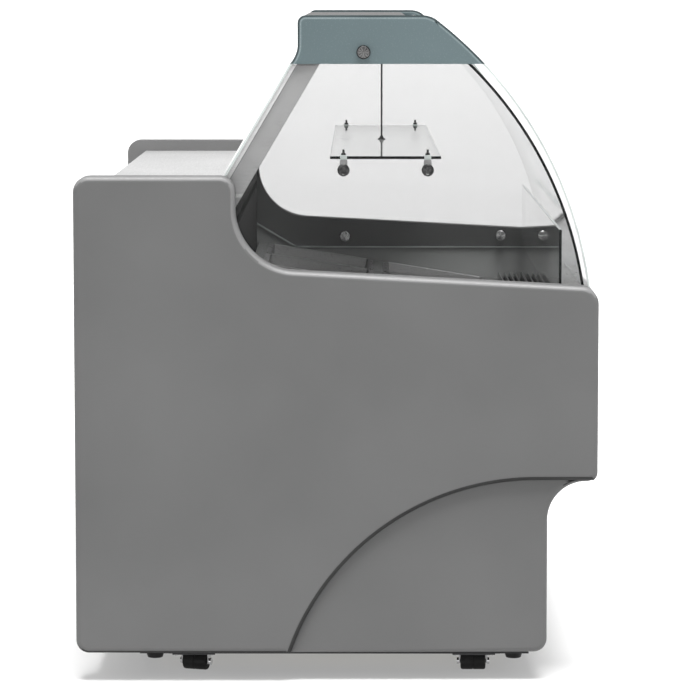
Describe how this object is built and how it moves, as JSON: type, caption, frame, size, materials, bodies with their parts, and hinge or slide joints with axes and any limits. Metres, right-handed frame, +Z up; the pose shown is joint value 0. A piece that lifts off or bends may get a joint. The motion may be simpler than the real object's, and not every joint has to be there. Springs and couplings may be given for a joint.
{
  "type": "ice cream dipping cabinet",
  "caption": "Long refrigerated ice cream display cabinet with moulded end panels, curved lift-up front glass, glass shelf, canopy, pan well and sliding rear doors, on casters.",
  "frame": {"origin": "on the floor, midway between the end panels and midway between their front and rear edges", "axes": "+X along the cabinet towards its right end as the customer sees it, +Y towards the server, +Z up"},
  "size_m": [1.8, 1.072, 1.368],
  "materials": {
    "moulded_panel": "moulded mid grey, fine satin grain",
    "clear_glass": "toughened, polished edges",
    "bright_steel": "turned stainless",
    "aluminium_profile": "anodised satin",
    "white_profile": "white extrusion",
    "stainless_sheet": "brushed",
    "foam": "rigid foam",
    "painted_sheet": "powder coated",
    "pan_steel": "bright satin",
    "black_plastic": "black moulded",
    "frame_steel": "painted",
    "black_steel": "black painted",
    "coil_fins": "plain fins",
    "copper_pipe": "drawn tube",
    "white_plastic": "drain tube",
    "lamp_cover": "opal diffuser",
    "clear_acrylic": "clear acrylic",
    "chrome_plate": "chrome plated",
    "wheel_rubber": "black polyurethane"
  },
  "bodies": {
    "cabinet": {"end_panel_left": "moulded_panel", "end_panel_right": "moulded_panel", "side_glass_left": "clear_glass", "side_glass_right": "clear_glass", "standoff_screws": "bright_steel", "canopy_shell": "aluminium_profile", "canopy_lamp": "lamp_cover", "hinge_pins": "bright_steel", "glass_shelf": "clear_glass", "shelf_fittings": "bright_steel", "rear_posts": "aluminium_profile", "door_tracks": "white_profile", "worktop": "stainless_sheet", "well_liner": "stainless_sheet", "insulation": "foam", "rear_air_duct": "stainless_sheet", "front_air_grille": "aluminium_profile", "inner_front_glass": "clear_glass", "front_ledge": "stainless_sheet", "front_panel": "painted_sheet", "kick_panel": "painted_sheet", "pan_deck": "stainless_sheet", "pans_rear_left": "pan_steel", "pans_rear_right": "pan_steel", "pans_front_left": "pan_steel", "pans_front_right": "pan_steel", "rear_panel": "painted_sheet", "control_panel": "black_plastic", "power_inlet": "black_plastic", "base_frame": "frame_steel", "caster_plates": "black_steel", "compressor": "black_steel", "condenser_coil": "coil_fins", "evaporator_coil": "coil_fins", "fan_motors": "frame_steel", "refrigerant_pipes": "copper_pipe", "drain_pipe": "white_plastic"},
    "front_window": {"front_glass": "clear_glass", "front_glass_clamp": "aluminium_profile"},
    "left_door": {"door_frame_left": "white_profile", "door_pane_left": "clear_acrylic"},
    "right_door": {"door_frame_right": "white_profile", "door_pane_right": "clear_acrylic"},
    "power_rocker": {"power_switch": "black_plastic"},
    "light_rocker": {"light_switch": "black_plastic"},
    "defrost_key": {"defrost_button": "black_plastic"},
    "condenser_rotor": {"condenser_fan": "black_plastic"},
    "evaporator_rotor": {"evaporator_fan": "black_plastic"},
    "fork_front_left": {"caster_fork_front_left": "chrome_plate"},
    "wheel_front_left": {"caster_wheel_front_left": "wheel_rubber"},
    "fork_rear_left": {"caster_fork_rear_left": "chrome_plate"},
    "wheel_rear_left": {"caster_wheel_rear_left": "wheel_rubber"},
    "fork_front_right": {"caster_fork_front_right": "chrome_plate"},
    "wheel_front_right": {"caster_wheel_front_right": "wheel_rubber"},
    "fork_rear_right": {"caster_fork_rear_right": "chrome_plate"},
    "wheel_rear_right": {"caster_wheel_rear_right": "wheel_rubber"},
    "foot_front_left": {"levelling_foot_front_left": "black_plastic"},
    "foot_rear_left": {"levelling_foot_rear_left": "black_plastic"},
    "foot_front_right": {"levelling_foot_front_right": "black_plastic"},
    "foot_rear_right": {"levelling_foot_rear_right": "black_plastic"}
  },
  "joints": [
    {"name": "front_window_lift", "type": "hinge", "parent": "cabinet", "child": "front_window", "pos_m": [0, -0.18308, 1.34323], "axis": [-1, 0, 0], "range_deg": [0, 50]},
    {"name": "left_door_slide", "type": "slide", "parent": "cabinet", "child": "left_door", "axis": [1, 0, 0], "range_m": [0, 0.78]},
    {"name": "right_door_slide", "type": "slide", "parent": "cabinet", "child": "right_door", "axis": [1, 0, 0], "range_m": [-0.78, 0]},
    {"name": "power_switch_rock", "type": "hinge", "parent": "cabinet", "child": "power_rocker", "pos_m": [-0.655, 0.519, 0.925], "axis": [1, 0, 0], "range_deg": [-14, 0]},
    {"name": "light_switch_rock", "type": "hinge", "parent": "cabinet", "child": "light_rocker", "pos_m": [-0.62, 0.519, 0.925], "axis": [1, 0, 0], "range_deg": [-14, 0]},
    {"name": "defrost_button_press", "type": "slide", "parent": "cabinet", "child": "defrost_key", "axis": [0, -1, 0], "range_m": [0, 0.0015], "stiffness_N_per_m": 300},
    {"name": "condenser_fan_spin", "type": "hinge", "parent": "cabinet", "child": "condenser_rotor", "pos_m": [0.38, 0.29, 0.237], "axis": [0, 1, 0], "continuous": true},
    {"name": "evaporator_fan_spin", "type": "hinge", "parent": "cabinet", "child": "evaporator_rotor", "pos_m": [0.52, -0.06, 0.509], "axis": [0, 0, 1], "continuous": true},
    {"name": "caster_swivel_front_left", "type": "hinge", "parent": "cabinet", "child": "fork_front_left", "pos_m": [-0.765, -0.286, 0.038], "axis": [0, 0, 1], "continuous": true},
    {"name": "wheel_spin_front_left", "type": "hinge", "parent": "fork_front_left", "child": "wheel_front_left", "pos_m": [-0.755, -0.286, 0.018], "axis": [0, 1, 0], "continuous": true},
    {"name": "caster_swivel_rear_left", "type": "hinge", "parent": "cabinet", "child": "fork_rear_left", "pos_m": [-0.765, 0.298, 0.038], "axis": [0, 0, 1], "continuous": true},
    {"name": "wheel_spin_rear_left", "type": "hinge", "parent": "fork_rear_left", "child": "wheel_rear_left", "pos_m": [-0.75549, 0.29491, 0.018], "axis": [0.309, 0.9511, 0], "continuous": true},
    {"name": "caster_swivel_front_right", "type": "hinge", "parent": "cabinet", "child": "fork_front_right", "pos_m": [0.765, -0.286, 0.038], "axis": [0, 0, 1], "continuous": true},
    {"name": "wheel_spin_front_right", "type": "hinge", "parent": "fork_front_right", "child": "wheel_front_right", "pos_m": [0.77406, -0.29023, 0.018], "axis": [0.4226, 0.9063, 0], "continuous": true},
    {"name": "caster_swivel_rear_right", "type": "hinge", "parent": "cabinet", "child": "fork_rear_right", "pos_m": [0.765, 0.298, 0.038], "axis": [0, 0, 1], "continuous": true},
    {"name": "wheel_spin_rear_right", "type": "hinge", "parent": "fork_rear_right", "child": "wheel_rear_right", "pos_m": [0.77383, 0.30269, 0.018], "axis": [-0.4695, 0.8829, 0], "continuous": true},
    {"name": "foot_screw_front_left", "type": "slide", "parent": "cabinet", "child": "foot_front_left", "axis": [0, 0, 1], "range_m": [-0.031, 0]},
    {"name": "foot_screw_rear_left", "type": "slide", "parent": "cabinet", "child": "foot_rear_left", "axis": [0, 0, 1], "range_m": [-0.031, 0]},
    {"name": "foot_screw_front_right", "type": "slide", "parent": "cabinet", "child": "foot_front_right", "axis": [0, 0, 1], "range_m": [-0.031, 0]},
    {"name": "foot_screw_rear_right", "type": "slide", "parent": "cabinet", "child": "foot_rear_right", "axis": [0, 0, 1], "range_m": [-0.031, 0]}
  ]
}
